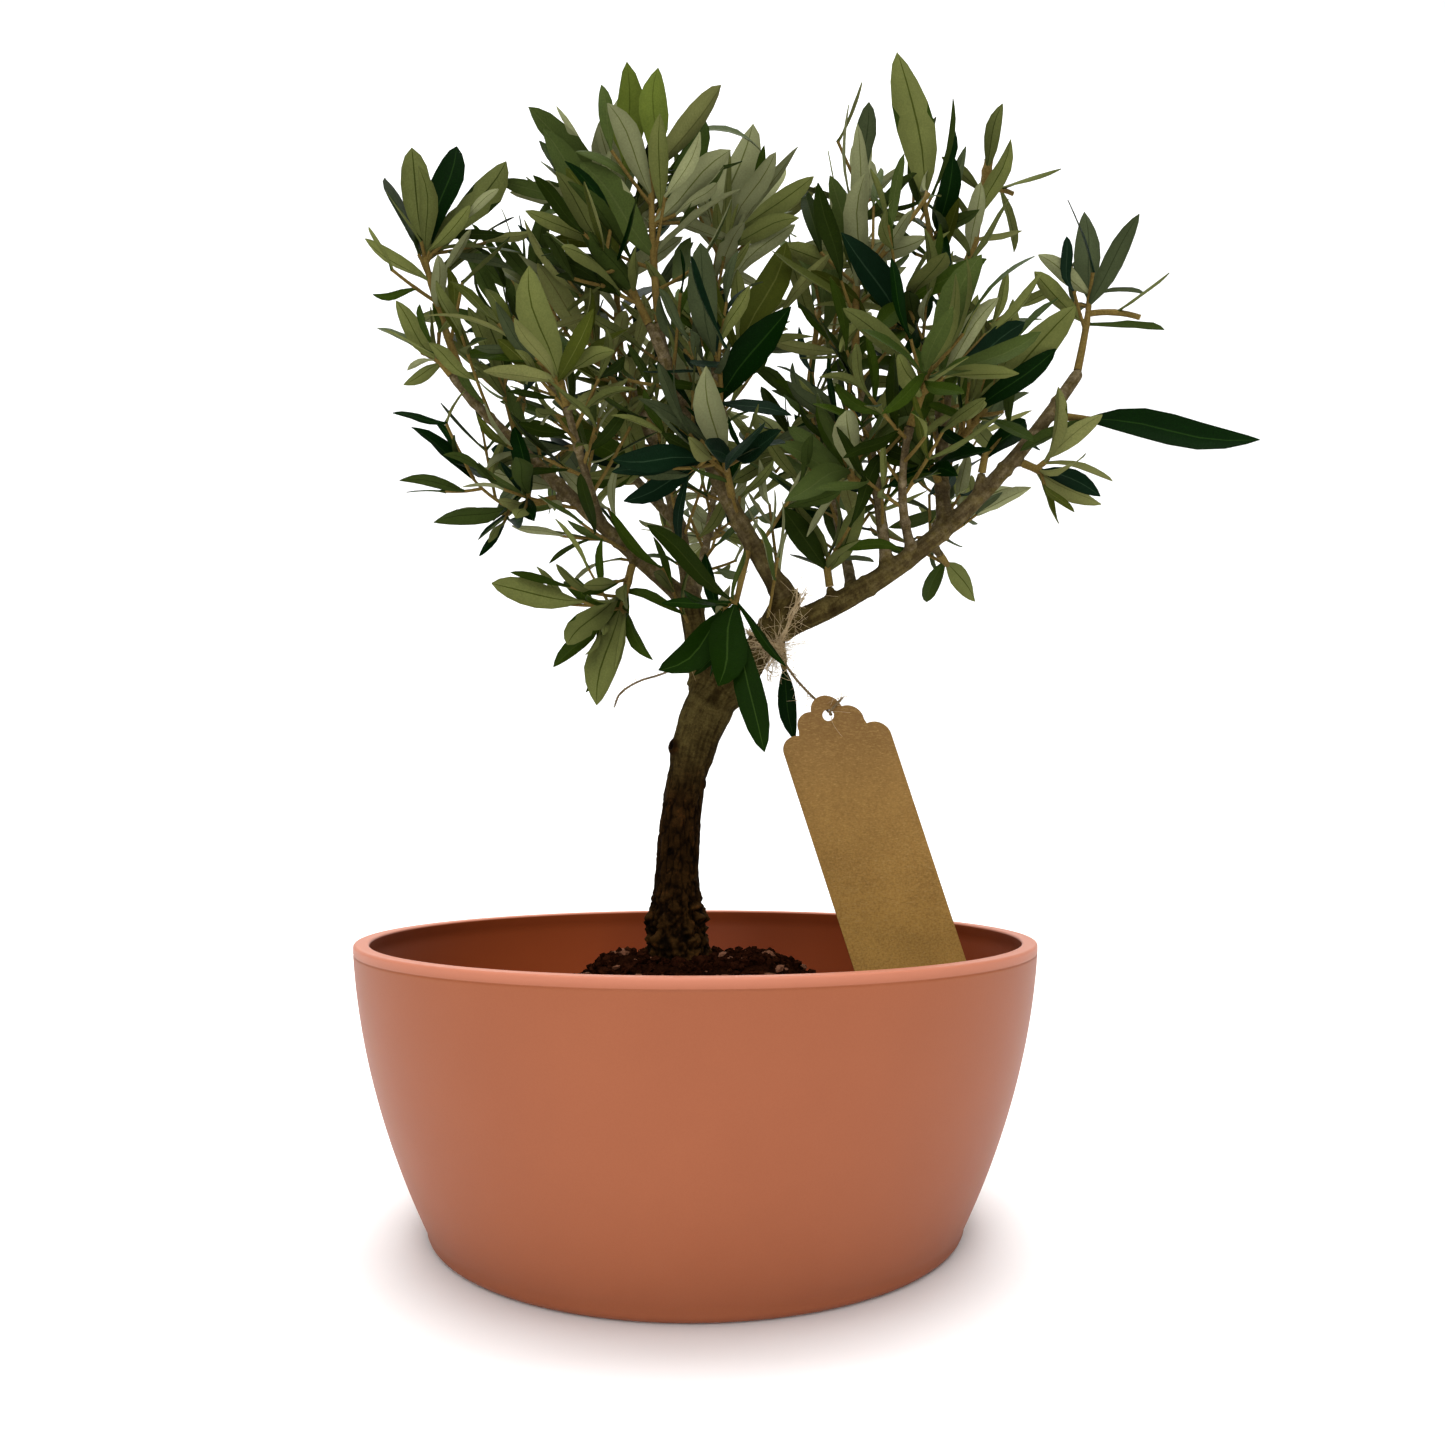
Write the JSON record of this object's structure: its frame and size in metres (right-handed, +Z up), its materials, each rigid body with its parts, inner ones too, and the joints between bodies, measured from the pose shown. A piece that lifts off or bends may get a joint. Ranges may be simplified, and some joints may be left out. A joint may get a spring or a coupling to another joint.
{
  "type": "olive bonsai in a bowl",
  "caption": "Small potted olive tree with a leaning trunk, forked limbs and open clusters of narrow leaves, in a round terracotta-coloured bowl, with a blank gift tag on twine.",
  "frame": {"origin": "centre of the bowl's flat underside, on the floor", "axes": "+Z up, +X to the right and -Y towards the viewer of the tree's face"},
  "size_m": [0.3278, 0.2496, 0.459],
  "materials": {
    "terracotta": "matt moulded",
    "earth": "crumbly",
    "kraft": "uncoated kraft",
    "jute": "loose twisted fibre",
    "bark": "rough bark",
    "foliage": "leathery leaves"
  },
  "bodies": {
    "root": {"bowl": "terracotta", "soil": "earth", "gift_tag": "kraft", "tag_twine": "jute", "trunk": "bark", "left_limb": "bark", "right_limb": "bark", "far_left_bough": "bark", "left_upright": "bark", "rear_left_bough": "bark", "back_bough": "bark", "mid_bough": "bark", "mid_upright": "bark", "right_bough": "bark", "inner_right_upright": "bark", "right_upright": "bark", "rear_right_bough": "bark", "back_right_bough": "bark", "front_left_bough": "bark", "front_right_bough": "bark", "far_left_crest": "foliage", "far_left_spray": "foliage", "far_left_low_spray": "foliage", "left_hanging_spray": "foliage", "front_left_spray": "foliage", "upper_left_crest": "foliage", "inner_left_spray": "foliage", "rear_left_crest": "foliage", "rear_left_spray": "foliage", "back_crest": "foliage", "back_low_spray": "foliage", "mid_crest": "foliage", "mid_left_spray": "foliage", "mid_front_spray": "foliage", "centre_spray": "foliage", "front_hanging_spray": "foliage", "limb_hanging_spray": "foliage", "mid_right_crest": "foliage", "mid_right_spray": "foliage", "inner_right_crest": "foliage", "inner_right_spray": "foliage", "right_crest": "foliage", "top_leaf_spray": "foliage", "right_front_spray": "foliage", "right_side_spray": "foliage", "far_right_crest": "foliage", "far_right_flag": "foliage", "right_low_spray": "foliage", "under_right_spray": "foliage", "front_right_spray": "foliage", "rear_right_crest": "foliage", "rear_right_spray": "foliage", "back_right_crest": "foliage", "back_right_spray": "foliage", "lower_left_spray": "foliage", "left_inner_spray": "foliage", "centre_right_spray": "foliage", "low_centre_spray": "foliage", "right_inner_spray": "foliage", "right_middle_spray": "foliage"}
  },
  "joints": []
}
